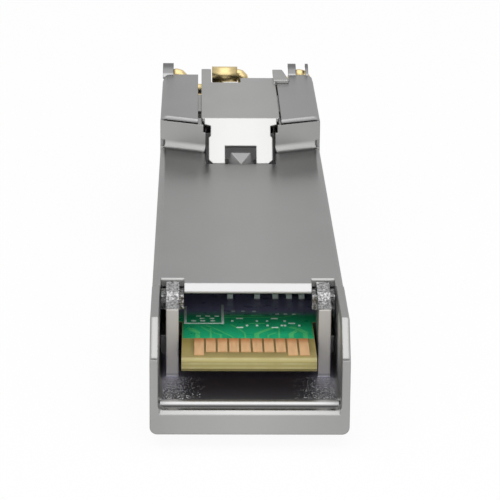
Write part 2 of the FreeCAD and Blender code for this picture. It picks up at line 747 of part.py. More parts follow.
def jack_contact(x):
    half = CONTACT_THICK / 2
    tail = JACK_REAR - 0.35
    turn = FACE - CONTACT_TURN
    tip = FACE - CLIP_DEPTH
    points = [(tail - CONTACT_FOOT, BOARD_TOP + half), (tail, BOARD_TOP + half), (tail, CONTACT_Z),
              (turn - CONTACT_WIDE, CONTACT_Z), (turn, CONTACT_Z - CONTACT_THICK),
              (turn - SHEET, CONTACT_Z - 2.2 * CONTACT_THICK), (tip, PORT_LOW + 0.7 * PORT_TALL)]
    return across(ribbon(points, CONTACT_THICK), x - CONTACT_WIDE / 2, x + CONTACT_WIDE / 2)


def circuit_board():
    end = CAST_END - PLAY
    half_outline = [(TONGUE_BOARD, BOARD_END), (TONGUE_BOARD, BOARD_SHOULDER),
                    (BODY_BOARD, BOARD_SHOULDER), (BODY_BOARD, end)]
    board = upright(symmetric(half_outline), BOARD_LOW, BOARD_TOP)
    front = edges_where(board, lambda p: near(p.y, BOARD_END))
    return board.makeChamfer(BOARD_BEVEL, [edge for edge in front if edge.Length > TONGUE_BOARD])


def edge_pads(offset, z, long_pads):
    pads = []
    for i, x in enumerate(centred(PAD_COUNT, PAD_PITCH)):
        left = offset + x - PAD_WIDE / 2
        near_end = PAD_NEAR_LONG if i in long_pads else PAD_NEAR
        outline = [(left, near_end), (left + PAD_WIDE, near_end), (left + PAD_WIDE, PAD_FAR), (left, PAD_FAR)]
        pads.append(upright(outline, z, z + PAD_THICK))
    return Part.makeCompound(pads)


def rectangle(wide, long, z):
    x = wide / 2
    y = long / 2
    return Part.makePolygon([V(-x, -y, z), V(x, -y, z), V(x, y, z), V(-x, y, z), V(-x, -y, z)])


def moulded(wide, long, low, tall):
    # A moulded package whose sides slope to the mould's parting line.
    belt = low + tall * 0.45
    middle = rectangle(wide, long, belt)
    lower = Part.makeLoft([rectangle(wide - DRAFT, long - DRAFT, low), middle], True, True)
    upper = Part.makeLoft([middle, rectangle(wide - 2 * DRAFT, long - 2 * DRAFT, low + tall)], True, True)
    return lower.fuse(upper)


def gull_leads(wide, span, low, tall, count, pitch):
    # Leads along both sides of a package, bent down to the board.
    thick = LEAD_THICK
    root = low + tall * 0.45
    tip = span / 2
    knee = tip - LEAD_FOOT
    strip = ribbon([(wide / 2 - DRAFT, root), (knee, root), (knee, thick / 2), (tip, thick / 2)], thick)
    leads = []
    for y in centred(count, pitch):
        for points in (strip, mirrored(strip)):
            leads.append(endwise(points, y - pitch / 4, y + pitch / 4))
    return leads


def leaded_package(wide, long, tall, span, count, pitch):
    body = moulded(wide, long, LEAD_STAND, tall - LEAD_STAND)
    return join([body] + gull_leads(wide, span, LEAD_STAND, tall - LEAD_STAND, count, pitch))


def quad_chip():
    half_height = CHIP_TALL - LEAD_STAND
    body = moulded(CHIP_SIDE, CHIP_SIDE, LEAD_STAND, half_height)
    leads = gull_leads(CHIP_SIDE, CHIP_SPAN, LEAD_STAND, half_height, CHIP_LEAD_COUNT, CHIP_PITCH)
    turned = [lead.copy() for lead in leads]
    for lead in turned:
        lead.rotate(V(0, 0, 0), V(0, 0, 1), 90)
    return join([body] + leads + turned)


def shielded_coil():
    # A ferrite block with rounded corners and a round winding cap.
    side = INDUCTOR_SIDE / 2
    cap = INDUCTOR_TALL * 0.12
    corners = symmetric([(side, -side), (side, side)])
    block = upright(corners, 0, INDUCTOR_TALL - cap, side / 3)
    return join([block, Part.makeCylinder(side * 0.8, cap + PLAY, V(0, 0, INDUCTOR_TALL - cap - PLAY))])


def crystal_can():
    wide = CRYSTAL_WIDE / 2
    long = CRYSTAL_LONG / 2
    base = box(-wide, wide, -long, long, 0, CRYSTAL_TALL * 0.6)
    x = wide - DRAFT
    y = long - DRAFT
    lid = upright(symmetric([(x, -y), (x, y)]), CRYSTAL_TALL * 0.5, CRYSTAL_TALL, DRAFT * 2)
    return join([base, lid])


def chip_capacitor():
    # A ceramic body with slightly larger plated ends.
    x = CAP_WIDE / 2
    y = CAP_LONG / 2
    lift = PAD_THICK / 2
    body = box(-x + lift, x - lift, -y, y, lift, CAP_TALL - lift)
    ends = [box(-x, x, -y, -y + CAP_END, 0, CAP_TALL), box(-x, x, y - CAP_END, y, 0, CAP_TALL)]
    return join([body] + ends)


def on_top(shape, x, y):
    placed = shape.copy()
    placed.translate(V(x, y, BOARD_TOP))
    return placed


def underneath(shape, x, y):
    placed = shape.copy()
    placed.rotate(V(0, 0, 0), V(0, 1, 0), 180)
    placed.translate(V(x, y, BOARD_LOW))
    return placed


def capacitors():
    spots = [(x, CAP_AT) for x in centred(CAP_COUNT, CAP_PITCH)]
    spots += [(x, CAP_REAR_AT) for x in CAP_REAR_X]
    return Part.makeCompound([on_top(chip_capacitor(), x, y) for x, y in spots])


def board_parts():
    coil = leaded_package(COIL_WIDE, COIL_LONG, COIL_TALL, COIL_SPAN, COIL_LEAD_COUNT, COIL_PITCH)
    memory = leaded_package(MEMORY_WIDE, MEMORY_LONG, MEMORY_TALL, MEMORY_SPAN,
                            MEMORY_LEAD_COUNT, MEMORY_PITCH)
    return {
        "phy_chip": on_top(quad_chip(), 0, CHIP_AT),
        "magnetics_1": on_top(coil, -COIL_X, COIL_AT),
        "magnetics_2": on_top(coil, COIL_X, COIL_AT),
        "eeprom_chip": underneath(memory, MEMORY_X, MEMORY_AT),
        "power_inductor": underneath(shielded_coil(), INDUCTOR_X, INDUCTOR_AT),
        "crystal": underneath(crystal_can(), CRYSTAL_X, CRYSTAL_AT),
        "capacitors": capacitors(),
    }


def all_nodes():
    nodes = {
        "housing_base": housing_base(),
        "latch_cover": latch_cover(),
        "head_shield": head_shield(),
        "actuator": actuator(),
        "bail": bail(),
        "jack_body": jack_body(),
        "circuit_board": circuit_board(),
        "edge_pads_latch": edge_pads(PAD_OFFSET, BOARD_TOP, (0, 8, 9)),
        "edge_pads_label": edge_pads(-PAD_OFFSET, BOARD_LOW - PAD_THICK, (0, 9)),
    }
    nodes.update(board_parts())
    for number, x in enumerate(contact_centres(), 1):
        nodes["contact_%d" % number] = jack_contact(x)
    return nodes


os.makedirs("parts", exist_ok=True)
for name, shape in all_nodes().items():
    placed = shape.copy()
    placed.translate(CENTRE)
    placed.exportStep("parts/%s.step" % name)
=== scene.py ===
"""Looks for a copper transceiver module: finishes, board print, small cast detail, studio and camera.

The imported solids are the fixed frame. Meshes are in metres, in the frame of the solids; sizes and places
are written in millimetres.
"""

import json
import math

import bmesh
import bpy
from mathutils import Matrix, Vector


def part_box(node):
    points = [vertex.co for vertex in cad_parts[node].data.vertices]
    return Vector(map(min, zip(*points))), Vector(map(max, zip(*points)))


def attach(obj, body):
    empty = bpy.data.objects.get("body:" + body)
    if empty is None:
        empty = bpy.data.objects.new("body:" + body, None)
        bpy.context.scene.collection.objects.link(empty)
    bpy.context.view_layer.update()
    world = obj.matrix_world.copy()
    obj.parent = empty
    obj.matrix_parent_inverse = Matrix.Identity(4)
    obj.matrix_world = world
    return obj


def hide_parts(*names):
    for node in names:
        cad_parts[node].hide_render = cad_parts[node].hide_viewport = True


MM = 0.001
ACROSS, ALONG, UP = range(3)

# Sockets of a mix node that blends colours.
MIX_AMOUNT, MIX_FIRST, MIX_SECOND, MIX_RESULT = 0, 6, 7, 2


def span(node, axis):
    """Low and high side of a solid along an axis, in millimetres."""
    low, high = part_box(node)
    return low[axis] / MM, high[axis] / MM


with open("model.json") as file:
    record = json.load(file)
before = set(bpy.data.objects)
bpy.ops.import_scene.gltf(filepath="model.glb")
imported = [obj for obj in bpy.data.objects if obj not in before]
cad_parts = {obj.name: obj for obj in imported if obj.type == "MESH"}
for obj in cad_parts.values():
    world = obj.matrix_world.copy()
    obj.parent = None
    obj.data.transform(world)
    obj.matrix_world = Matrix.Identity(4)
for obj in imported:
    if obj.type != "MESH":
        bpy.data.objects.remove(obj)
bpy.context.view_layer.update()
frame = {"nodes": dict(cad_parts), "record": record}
nodes = frame["nodes"]

# Places taken from the solids.
HOUSING_REAR = span("housing_base", ALONG)[0]
HOUSING_TOP = span("housing_base", UP)[1]
COVER_REAR = span("latch_cover", ALONG)[0]
EAR_TOP = span("head_shield", UP)[1]
BOARD_HALF = span("circuit_board", ACROSS)[1]
BOARD_FRONT, BOARD_FAR = span("circuit_board", ALONG)
BOARD_TOP = span("circuit_board", UP)[1]
PADS_LEFT, PADS_RIGHT = span("edge_pads_latch", ACROSS)
PADS_FAR = span("edge_pads_latch", ALONG)[1]
PADS_MIDDLE = (PADS_LEFT + PADS_RIGHT) / 2
PADS_HALF = (PADS_RIGHT - PADS_LEFT) / 2

# Camera, solved from the photograph.
IMAGE = 500
FOCAL_PIXELS = 2621.2
CENTRE_PIXEL = (258.35, 249.79)
PITCH = math.radians(16.447)
YAW = math.radians(1.362)
ROLL = math.radians(0.575)
EYE = Vector((-3.461, -198.256, 62.576)) * MM
SENSOR = 36.0
NEAREST_SEEN = 10.0

# Studio: height of each softbox above the horizon, its distance and size in metres, and its brightness.
TOP_BOX = {"rise": math.radians(90), "away": 0.40, "wide": 0.50, "tall": 0.50, "radiance": 1.16}
FRONT_BOX = {"rise": math.radians(36), "away": 0.40, "wide": 1.00, "tall": 0.40, "radiance": 1.0}
ROOM_FILL = 0.40
FLOOR_SIDE = 3000.0
FLOOR_DROP = 0.05
FLOOR_GLOW = 0.93
FLOOR_PALE = 0.9
FLOOR_MATT = 0.9

# Solder mask and the copper that shows through it.
MASK_EDGE = PADS_FAR + 0.13
MASK_THICK = 0.02
MASK_MARGIN = 0.05
SHOULDER_AT = COVER_REAR + 1.75
TONGUE_HALF = PADS_RIGHT + 0.42
TRACE_START = MASK_EDGE + 0.05
TRACE_THIN = 0.13
TRACE_WIDE = 0.34
TRACE_SWELL = 0.004
THIN_TRACES = [
    [(-2.60, TRACE_START), (-2.60, -23.35), (-2.95, -22.95)],
    [(-1.90, TRACE_START), (-1.90, -25.10), (-2.75, -24.20), (-3.30, -23.20)],
    [(-1.05, TRACE_START), (-1.20, -25.35), (-2.45, -23.45)],
    [(-0.20, TRACE_START), (-0.20, -24.80), (-0.50, -24.00), (-1.15, -22.80)],
    [(1.40, TRACE_START), (1.40, -25.20), (1.95, -24.60)],
    [(2.15, TRACE_START), (2.20, -23.45)],
    [(3.60, -24.30), (4.25, -24.90)],
    [(-4.15, -23.95), (-3.75, -24.45), (-3.45, -24.50)],
    [(-1.65, -21.15), (2.60, -21.05), (3.60, -20.40)],
    [(-1.65, -20.70), (1.05, -20.65)],
    [(0.05, -22.50), (1.20, -22.50)],
]
WIDE_TRACES = [
    [(-3.50, TRACE_START), (-3.50, -24.55), (-3.80, -23.90), (-4.20, -23.60)],
    [(0.60, TRACE_START), (0.60, -24.90), (1.00, -24.35), (1.75, -23.55)],
    [(3.00, TRACE_START), (3.00, -24.90), (3.60, -23.80)],
    [(4.00, TRACE_START), (4.00, -24.45), (3.60, -23.80), (2.95, -23.30)],
]

# Cosine of half a corner's turn, below which the mitre of a printed line grows no longer.
MITRE_LIMIT = 0.5

# White legend print: a frame with rows of bars, footprints made of dashes and ticks, and short marks.
LEGEND_THICK = 0.032
FRAME_LINE = 0.18
BAR_LINE = 0.20
LEGEND_FRAME = [(-4.38, -18.6), (-4.38, -22.53), (-1.74, -22.53), (-1.74, -18.2)]
BAR_LONG = 0.34
BAR_ROWS = {-21.95: (-3.80, -3.15, -2.45), -21.40: (-3.20, -2.50), -20.85: (-3.45, -2.80, -2.15)}
DASH_LONG = 0.48
DASH_ROWS = {-21.40: (-0.54, 1.92), -22.48: (3.13,), -23.45: (-0.54, 1.92)}
MARK_LONG = 0.26
MARK_ROWS = {-20.35: (2.15, 2.75, 3.35), -19.70: (-0.96, -0.26, 0.52)}
TICK_SIZE = (0.17, 0.30)
TICK_ROWS = {-21.97: (-1.06, 0.67, 1.40, 2.64), -22.99: (-0.04, 0.67, 1.40, 2.42, 2.64, 3.64)}

# Rounded bead along the lip, and the rough cast floor behind it. A band of grains runs from one distance off
# the middle plane in to another, with a share of the full crowding.
FLOOR_HIGH = 2.82
FLOOR_NEAR = HOUSING_REAR + 1.8
FLOOR_FAR = HOUSING_REAR + 6.3
WALL_INSIDE = 6.1
GRAIN_BANDS = [(6.0, 5.2, 1.0), (5.2, 4.4, 0.75), (4.4, 3.7, 0.4), (3.7, 3.0, 0.12)]
GRAINS_PER_AREA = 80e6
GRAIN_RADIUS = 0.042
GRAIN_LEVEL = 1
GRAIN_SEED = 7
GRAIN_SCALES = {"low": (0.5, 0.5, 0.3), "high": (1.5, 1.5, 0.9), "seed": 11}
GRAIN_TURNS = {"low": (-0.4, -0.4, 0.0), "high": (0.4, 0.4, 6.28), "seed": 12}
BEAD_HALF = 6.02
BEAD_FAR = HOUSING_REAR + 1.68
BEAD_LONG = 0.62
BEAD_LOW = FLOOR_HIGH - 0.32
BEAD_TALL = 0.345
BEAD_FULLNESS = 0.65
BEAD_STEPS = 12
BEAD_CREASE = 30

# Peened tops of the two posts and the metal squeezed into the notches beside them. A profile is a list of
# (y from the rear edge of the cover, z from the top of the housing).
POST_FRONT = HOUSING_REAR + 6.5
POST_SIDES = (4.80, 5.70)
NOTCH_SIDES = (4.48, 6.07)
CROWN = [
    (-2.90, -0.94), (-2.90, -0.80), (-1.27, -0.76), (-0.77, -0.26),
    (1.43, -0.18), (1.43, -0.60), (-0.65, -0.60),
]
COLLAR = [(-0.10, -1.75), (-0.10, -0.80), (0.05, -0.72), (1.55, -0.68), (1.55, -1.75)]
PEEN_SLICES = 6
PEEN_EDGE = 0.22
PEEN_LEVEL = 2
DENT_DEPTH = 0.13
DENTS_PER_METRE = 4200.0
DENT_DETAIL = 2.0

# Smooth copy of the bail: how near its points are welded, and the bend in degrees that stays sharp.
BAIL_WELD = 0.0005
BAIL_CREASE = 50

# Head of the cover: two swept risers, the pocket between them and the boss that stands in it. The foot of the
# risers is carried on to the middle plane.
RISER_SWEEP = 0.458
RISER_INSIDE = 3.1
RISER_AT_POCKET = HOUSING_REAR + 47.2
RISER_FOOT = RISER_AT_POCKET - RISER_SWEEP * RISER_INSIDE
POCKET_REAR = HOUSING_REAR + 42.97
BOSS_HALF = 1.2

# Boxes of painted light and shade, as (low, high) along the axes that bound them; across, that is off the
# middle plane. None leaves an end open, and the tint fades out over a short way around the box.
FADE = 0.1
HOLLOW_FLOOR = {UP: (FLOOR_HIGH - 0.02, FLOOR_HIGH + 0.4)}
POST_FRONTS = {
    ACROSS: (POST_SIDES[0] - 0.1, POST_SIDES[1] + 0.1),
    ALONG: (None, POST_FRONT + 0.05),
    UP: (FLOOR_HIGH + 0.25, None),
}
INNER_WALLS = {ACROSS: (POST_SIDES[1] + 0.2, WALL_INSIDE + 0.1)}
COVER_EDGE = {
    ACROSS: (None, NOTCH_SIDES[0] - 0.1),
    ALONG: (None, COVER_REAR + 0.55),
    UP: (HOUSING_TOP - 1.45, None),
}
LATCH_POCKET = {
    ACROSS: (None, RISER_INSIDE),
    ALONG: (POCKET_REAR - 0.05, None),
    UP: (None, HOUSING_TOP - 0.15),
}
BOSS_RAMP = {
    ACROSS: (None, BOSS_HALF),
    ALONG: (POCKET_REAR + 0.1, None),
    UP: (HOUSING_TOP, None),
}
CURLED_EARS = {UP: (EAR_TOP - 0.5, None)}
PART_FOOT_SHADE = {UP: (None, BOARD_TOP + 0.12)}

# Where a tint or a sheen changes, as (start, end).
TOPS_RUBBED = (HOUSING_TOP - 1.5, HOUSING_TOP - 0.2)
LIP_RUBBED = (FLOOR_HIGH - 0.2, FLOOR_HIGH - 0.1)
WALL_DEEPER = (FLOOR_NEAR, FLOOR_FAR - 1.0)
WALL_HIGHER = (FLOOR_HIGH, FLOOR_HIGH + 2.5)
WALL_ENDS = (HOUSING_TOP - 1.2, HOUSING_TOP - 0.8)
FOOT_SHADE_GROWS = (RISER_FOOT - 4.0, RISER_FOOT - 1.6)
FOOT_SHADE_ENDS = (RISER_FOOT, RISER_FOOT + 0.1)
FOOT_SHADE_BESIDE = (RISER_INSIDE, RISER_INSIDE + 0.2)
MIDDLE_ENDS = (1.0, 6.0)
BEAD_SHADE_FADES = (BEAD_LOW + 0.4 * BEAD_TALL, BEAD_LOW + 0.75 * BEAD_TALL)
PADS_REDDEN = (PADS_FAR - 1.15, PADS_FAR - 0.1)
BETWEEN_PADS_ENDS = (PADS_HALF - 0.1, PADS_HALF + 0.4)
BETWEEN_PADS_GROWS = (BOARD_FRONT + 0.5, BOARD_FRONT + 1.7)
PALE_EDGE_ENDS = (BOARD_FRONT + 0.2, BOARD_FRONT + 1.6)
BOARD_RIM = (BOARD_TOP - 0.07, BOARD_TOP - 0.01)
MASK_REFLECTION_GROWS = (COVER_REAR + 2.95, COVER_REAR + 4.35)

# Noise textures, in waves per metre, and the range of their values that is used.
NOISE_RANGE = (0.3, 0.7)
PIT_RANGE = (0.38, 0.62)
METAL_CLOUDS = {"scale": 260.0, "detail": 5.0}
METAL_GRAIN = {"scale": 9500.0, "detail": 2.0}
METAL_PITS = {"scale": 5200.0, "detail": 3.0, "roughness": 0.7}
FOOT_SHADE_PATCHES = {"scale": 2500.0, "detail": 4.0}
WORN_PATCHES = {"scale": 900.0, "detail": 4.0}
WIRE_GRAIN = {"scale": 16000.0, "detail": 2.0}
GOLD_STROKES = {"scale": 900.0, "detail": 3.0}
PLASTIC_CLOUDS = {"scale": 700.0, "detail": 4.0}
PLASTIC_GRAIN = {"scale": 14000.0, "detail": 2.0}
RESIN_CLOUDS = {"scale": 900.0, "detail": 4.0}
COAT_FLOW = {"scale": 1100.0, "detail": 4.0}

# The stretch that turns noise into strokes, and the glass layers of the board in radians per metre.
STROKE_STRETCH = (9.0, 0.6, 1.0)
LAYER_WAVE = 21000.0

# Relief that the textures raise, and softened edges: their radius, and the samples that each takes.
METAL_RELIEF = {"strength": 0.04, "distance": 0.02}
PITTED_RELIEF = {"strength": 0.6, "distance": 0.05}
WIRE_RELIEF = {"strength": 0.03, "distance": 0.004}
GOLD_RELIEF = {"strength": 0.08, "distance": 0.01}
PLASTIC_RELIEF = {"strength": 0.15, "distance": 0.015}
BOARD_RELIEF = {"strength": 0.1, "distance": 0.02}
COAT_RELIEF = {"strength": 0.12, "distance": 0.012}
METAL_RIM = 0.14
PLASTIC_RIM = 0.05
EDGE_SAMPLES = 4

# Factors on a finish's own tint, where its texture or wear makes it darker, lighter or warmer, and where
# painted light along the middle makes it lighter.
CLOUD_LIGHT = 1.05
CLOUD_SHADE = 0.885
BEAD_SHADE = 0.93
WIRE_SHADE = 0.86
PLASTIC_LIGHT = 1.4
MIDDLE_LIGHT = 1.2
WARM_METAL = 0.985

# How much of a second tint shows: at most, or at the low and the high end of a texture.
MIDDLE_SHARE = 0.5
BETWEEN_PADS_SHARE = 0.7
FOOT_SHADE_SHARE = (0.65, 1.0)
LAYER_SHARE = (0.2, 0.9)

# Roughness at the low and the high end of a texture. A mottle is added to the finish's own roughness.
METAL_MOTTLE = (-0.015, 0.015)
WIRE_MOTTLE = (-0.04, 0.05)
PLASTIC_MOTTLE = (-0.06, 0.08)
COAT_MOTTLE = (-0.05, 0.08)
PIT_ROUGHNESS = (0.5, 0.25)
GOLD_ROUGHNESS = (0.42, 0.6)
BOARD_ROUGHNESS = (0.36, 0.5)

# Metal share of the thin gold, tint of satin metal at grazing angles, and how far up a flat top has to face.
GOLD_METALLIC = 0.35
GRAZING_TINT = 0.6
FLAT_TOP = (0.75, 0.98)


# Small helpers for node trees.


def add_node(tree, kind, inputs=None, **settings):
    node = tree.nodes.new(kind)
    for key, value in settings.items():
        setattr(node, key, value)
    for key, value in (inputs or {}).items():
        node.inputs[key].default_value = value
    return node


def join_sockets(tree, source, target):
    tree.links.new(source, target)


def new_finish(name):
    finish = bpy.data.materials.new(name)
    finish.use_nodes = True
    tree = finish.node_tree
    return finish, tree, tree.nodes["Principled BSDF"]


def grey(level):
    return (level, level, level, 1.0)


def colour(red, green, blue):
    return (red, green, blue, 1.0)


def scaled(tint, amount):
    return tuple(channel * amount for channel in tint[:3]) + (1.0,)


def place_on_part(tree):
    return add_node(tree, "ShaderNodeTexCoord").outputs["Object"]


def axis_of(tree, vector, axis):
    node = add_node(tree, "ShaderNodeSeparateXYZ")
    join_sockets(tree, vector, node.inputs[0])
    return node.outputs[axis]


def noise(tree, place, scale, detail, roughness=0.55):
    node = add_node(tree, "ShaderNodeTexNoise", {"Scale": scale, "Detail": detail, "Roughness": roughness})
    join_sockets(tree, place, node.inputs["Vector"])
    return node.outputs["Fac"]


def spread(tree, value, low, high, start=NOISE_RANGE[0], end=NOISE_RANGE[1]):
    """Carries a value from the range between start and end to another one, held at its ends."""
    limits = {"From Min": start, "From Max": end, "To Min": low, "To Max": high}
    node = add_node(tree, "ShaderNodeMapRange", limits)
    join_sockets(tree, value, node.inputs["Value"])
    return node.outputs["Result"]


def uneven(tree, texture, middle, mottle):
    """A value that a texture moves a little below and above its middle."""
    return spread(tree, texture, middle + mottle[0], middle + mottle[1])


def rising(tree, length, start, end):
    """0 up to the start and 1 past the end, both in millimetres."""
    return spread(tree, length, 0.0, 1.0, start * MM, end * MM)


def falling(tree, length, start, end):
    """1 up to the start and 0 past the end, both in millimetres."""
    return spread(tree, length, 1.0, 0.0, start * MM, end * MM)


def combine(tree, operation, first, second):
    node = add_node(tree, "ShaderNodeMath", operation=operation)
    for socket, value in zip(node.inputs, (first, second)):
        if isinstance(value, float):
            socket.default_value = value
        else:
            join_sockets(tree, value, socket)
    return node.outputs[0]


def product(tree, first, *others):
    """All the values multiplied together."""
    for other in others:
        first = combine(tree, "MULTIPLY", first, other)
    return first


def blend_colours(tree, amount, first, second):
    node = add_node(tree, "ShaderNodeMix", data_type="RGBA")
    for socket, value in ((node.inputs[MIX_FIRST], first), (node.inputs[MIX_SECOND], second)):
        if isinstance(value, tuple):
            socket.default_value = value
        else:
            join_sockets(tree, value, socket)
    join_sockets(tree, amount, node.inputs[MIX_AMOUNT])
    return node.outputs[MIX_RESULT]


def raise_grain(tree, height, strength, distance, normal=None):
    node = add_node(tree, "ShaderNodeBump", {"Strength": strength, "Distance": distance * MM})
    join_sockets(tree, height, node.inputs["Height"])
    if normal is not None:
        join_sockets(tree, normal, node.inputs["Normal"])
    return node.outputs["Normal"]


def soft_edges(tree, radius):
    node = add_node(tree, "ShaderNodeBevel", {"Radius": radius * MM}, samples=EDGE_SAMPLES)
    return node.outputs["Normal"]


def join_looks(tree, shader, tint, roughness, relief, metallic=0.0):
    """Gives a shader its tint, its roughness and the relief of its surface."""
    for name, source in (("Base Color", tint), ("Roughness", roughness), ("Normal", relief)):
        join_sockets(tree, source, shader.inputs[name])
    shader.inputs["Metallic"].default_value = metallic


# Masks on the part's own coordinates: 1 in a place and 0 away from it.


def off_middle(tree, place):
    """Distance from the middle plane of the module."""
    return combine(tree, "ABSOLUTE", axis_of(tree, place, ACROSS), 0.0)


def in_box(tree, place, box):
    """1 inside a box on either side of the middle plane, fading to 0 around it."""
    sides = []
    for axis, (low, high) in box.items():
        length = off_middle(tree, place) if axis == ACROSS else axis_of(tree, place, axis)
        if low is not None:
            sides.append(rising(tree, length, low - FADE, low))
        if high is not None:
            sides.append(falling(tree, length, high, high + FADE))
    return product(tree, *sides)


def flat_top(tree):
    """1 on faces that look straight up, 0 on slopes and walls."""
    facing = add_node(tree, "ShaderNodeTexCoord").outputs["Normal"]
    return spread(tree, axis_of(tree, facing, UP), 0.0, 1.0, *FLAT_TOP)


def rubbed_tops(tree, place):
    """1 on the outer tops and on the ledge of the lip, which handling and plugging keep smooth."""
    height = axis_of(tree, place, UP)
    outside = rising(tree, height, *TOPS_RUBBED)
    on_lip = falling(tree, height, *LIP_RUBBED)
    return product(tree, flat_top(tree), combine(tree, "ADD", outside, on_lip))


def lit_middle(tree, place):
    """Painted light: a share along the middle of the module, fading to 0 at its sides."""
    return product(tree, falling(tree, off_middle(tree, place), *MIDDLE_ENDS), MIDDLE_SHARE)


def hollow_floor(tree, place):
    """1 on the floor of the hollow behind the lip, where shade is painted."""
    return product(tree, in_box(tree, place, HOLLOW_FLOOR), flat_top(tree))


def hollow_back(tree, place):
    """Painted light on the floor of the hollow: 0 by the lip and 1 at the posts."""
    inward = rising(tree, axis_of(tree, place, ALONG), FLOOR_NEAR, FLOOR_FAR)
    return product(tree, hollow_floor(tree, place), inward, inward)


def post_fronts(tree, place):
    """Painted light on the front faces of the posts: 1 there."""
    return in_box(tree, place, POST_FRONTS)


def inner_walls(tree, place):
    """Painted light on the inside of the side walls: 1 there, growing from the mouth of the hollow to the
    posts.
    """
    height = axis_of(tree, place, UP)
    inward = rising(tree, axis_of(tree, place, ALONG), *WALL_DEEPER)
    upward = rising(tree, height, *WALL_HIGHER)
    below_top = falling(tree, height, *WALL_ENDS)
    return product(tree, in_box(tree, place, INNER_WALLS), inward, upward, below_top)


def cover_edge(tree, place):
    """Painted highlight on the rear edge of the cover, between its notches: 1 there."""
    upright = combine(tree, "SUBTRACT", 1.0, flat_top(tree))
    return product(tree, in_box(tree, place, COVER_EDGE), upright)


def riser_foot_shade(tree, place):
    """Painted shade at the foot of the swept risers: 1 there, fading in patches over the plate in front of
    them.
    """
    aside = off_middle(tree, place)
    swept = product(tree, aside, RISER_SWEEP)
    along = combine(tree, "SUBTRACT", axis_of(tree, place, ALONG), swept)
    growing = rising(tree, along, *FOOT_SHADE_GROWS)
    before = falling(tree, along, *FOOT_SHADE_ENDS)
    beside = rising(tree, aside, *FOOT_SHADE_BESIDE)
    patches = spread(tree, noise(tree, place, **FOOT_SHADE_PATCHES), *FOOT_SHADE_SHARE)
    return product(tree, growing, before, beside, patches, flat_top(tree))


def latch_pocket(tree, place):
    """Painted light inside the pocket between the risers: 1 there."""
    return in_box(tree, place, LATCH_POCKET)


def boss_ramp(tree, place):
    """Painted light on the ramp of the boss that stands in the pocket: 1 there."""
    return product(tree, in_box(tree, place, BOSS_RAMP), flat_top(tree))


def curled_ears(tree, place):
    """Painted shade on the guide ears that stand above the flanks of the shield: 1 there."""
    return in_box(tree, place, CURLED_EARS)


def part_foot_shade(tree, place):
    """Painted shade at the foot of the parts on the board: 1 there."""
    return in_box(tree, place, PART_FOOT_SHADE)


def among_pads(tree, place):
    """A share between the pads of the board, fading to 0 around them."""
    off_centre = combine(tree, "SUBTRACT", axis_of(tree, place, ACROSS), PADS_MIDDLE * MM)
    across = falling(tree, combine(tree, "ABSOLUTE", off_centre, 0.0), *BETWEEN_PADS_ENDS)
    along = rising(tree, axis_of(tree, place, ALONG), *BETWEEN_PADS_GROWS)
    return product(tree, across, along, BETWEEN_PADS_SHARE)


def paint_light_and_shade(tree, place, tint, areas):
    """The tint with painted light and shade laid over it. An area is a mask with the tint that is painted
    there.
    """
    for mask, own_tint in areas:
        tint = blend_colours(tree, mask(tree, place), tint, own_tint)
    return tint


# Metal finishes.


def satin_metal(name, tone, smooth, rough, warmth=WARM_METAL, areas=()):
    """Plated metal with a fine grain, faint clouding, softly broken edges and smoother tops, with painted
    light along its middle and the painted light and shade of its areas.
    """
    finish, tree, shader = new_finish(name)
    place = place_on_part(tree)
    clouds = noise(tree, place, **METAL_CLOUDS)
    light = scaled((1.0, 1.0, warmth), tone * CLOUD_LIGHT)
    tint = blend_colours(tree, clouds, scaled(light, CLOUD_SHADE), light)
    # Painted light along the middle of the module.
    tint = blend_colours(tree, lit_middle(tree, place), tint, scaled(light, MIDDLE_LIGHT))
    tint = paint_light_and_shade(tree, place, tint, areas)
    polish = spread(tree, rubbed_tops(tree, place), rough, smooth, 0.0, 1.0)
    roughness = combine(tree, "ADD", polish, spread(tree, clouds, *METAL_MOTTLE))
    fine = noise(tree, place, **METAL_GRAIN)
    relief = raise_grain(tree, fine, **METAL_RELIEF, normal=soft_edges(tree, METAL_RIM))
    join_looks(tree, shader, tint, roughness, relief, metallic=1.0)
    shader.inputs["Specular Tint"].default_value = grey(GRAZING_TINT)
    return finish


def worn_bead(name, crest, foot, roughness):
    """A bead rubbed bright along its crest, with painted shade at its foot."""
    finish, tree, shader = new_finish(name)
    place = place_on_part(tree)
    clouds = noise(tree, place, **METAL_CLOUDS)
    metal = blend_colours(tree, clouds, grey(crest * BEAD_SHADE), grey(crest * CLOUD_LIGHT))
    # Painted shade darkens the foot of the bead.
    bead_foot_shade = falling(tree, axis_of(tree, place, UP), *BEAD_SHADE_FADES)
    tint = blend_colours(tree, bead_foot_shade, metal, grey(foot))
    relief = raise_grain(tree, noise(tree, place, **METAL_GRAIN), **METAL_RELIEF)
    join_looks(tree, shader, tint, uneven(tree, clouds, roughness, METAL_MOTTLE), relief, metallic=1.0)
    return finish


def rough_metal(name, dark, light):
    """Metal as it left the mould or the peening tool: pitted, with dark hollows and bright crests."""
    finish, tree, shader = new_finish(name)
    pits = noise(tree, place_on_part(tree), **METAL_PITS)
    tint = blend_colours(tree, spread(tree, pits, 0.0, 1.0, *PIT_RANGE), grey(dark), grey(light))
    roughness = spread(tree, pits, *PIT_ROUGHNESS)
    join_looks(tree, shader, tint, roughness, raise_grain(tree, pits, **PITTED_RELIEF), metallic=1.0)
    return finish


def bright_metal(name, tint, roughness):
    """Drawn wire or gold plating: smooth, with slightly worn patches."""
    finish, tree, shader = new_finish(name)
    place = place_on_part(tree)
    patches = noise(tree, place, **WORN_PATCHES)
    worn = blend_colours(tree, patches, scaled(tint, WIRE_SHADE), tint)
    relief = raise_grain(tree, noise(tree, place, **WIRE_GRAIN), **WIRE_RELIEF)
    join_looks(tree, shader, worn, uneven(tree, patches, roughness, WIRE_MOTTLE), relief, metallic=1.0)
    return finish


GOLD_TINTS = (colour(0.62, 0.36, 0.17), colour(0.74, 0.46, 0.24))
COPPER_RED = colour(0.47, 0.18, 0.05)


